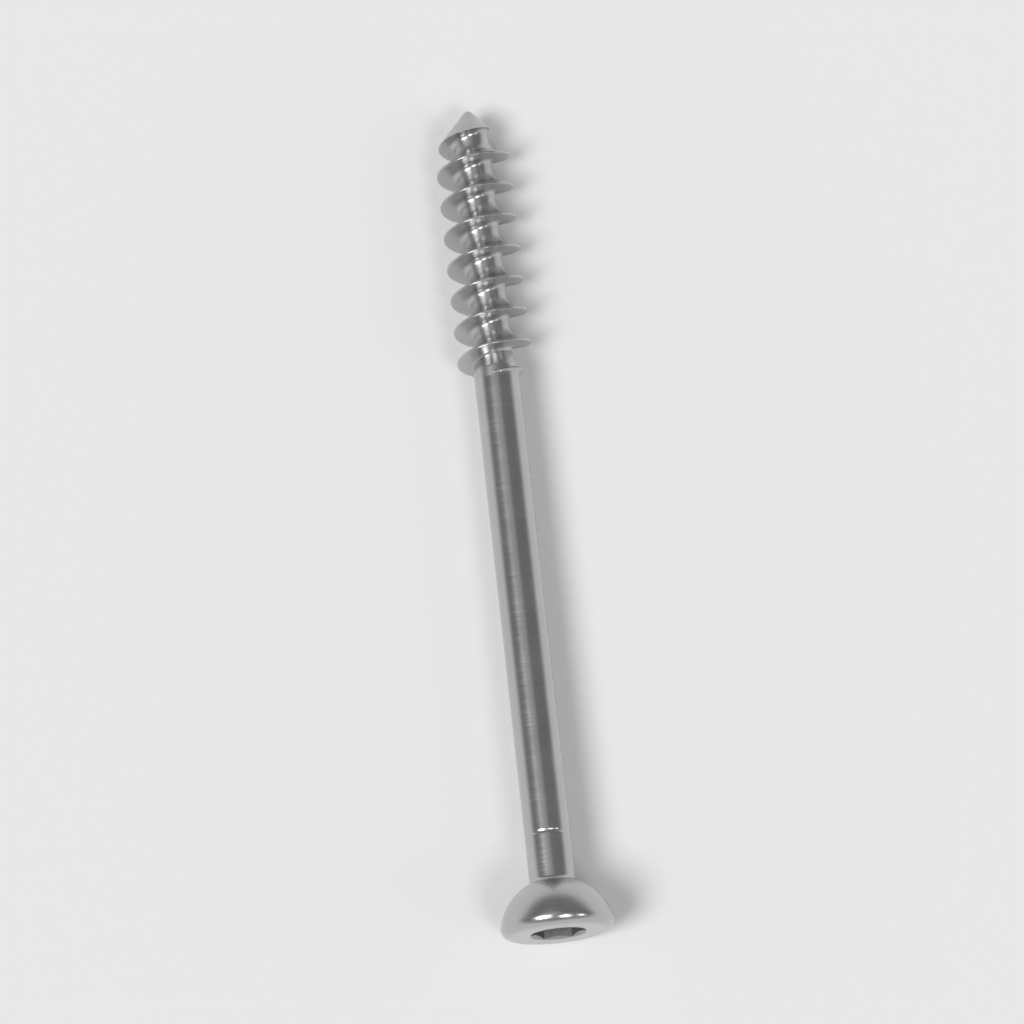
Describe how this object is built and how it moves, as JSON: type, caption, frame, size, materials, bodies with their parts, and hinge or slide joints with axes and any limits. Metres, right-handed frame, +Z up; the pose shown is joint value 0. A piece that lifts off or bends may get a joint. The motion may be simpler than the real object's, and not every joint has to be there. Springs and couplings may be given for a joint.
{
  "type": "orthopedic bone screw",
  "caption": "Cancellous bone screw: short deep asymmetric thread, plain shank and round head with a spherical underside and a hexagon socket, for fixing spongy bone or a plate.",
  "frame": {"origin": "on the surface that the screw lies on, under the middle of its length", "axes": "+Y towards the tip along the floor, -Y towards the head, +Z up; the screw's own axis rises by about 1.3 degrees towards the head, because the head is thicker than the thread"},
  "size_m": [0.006, 0.045, 0.0059],
  "materials": {
    "stainless_steel": "polished"
  },
  "bodies": {
    "root": {"bone_screw": "stainless_steel"}
  },
  "joints": []
}
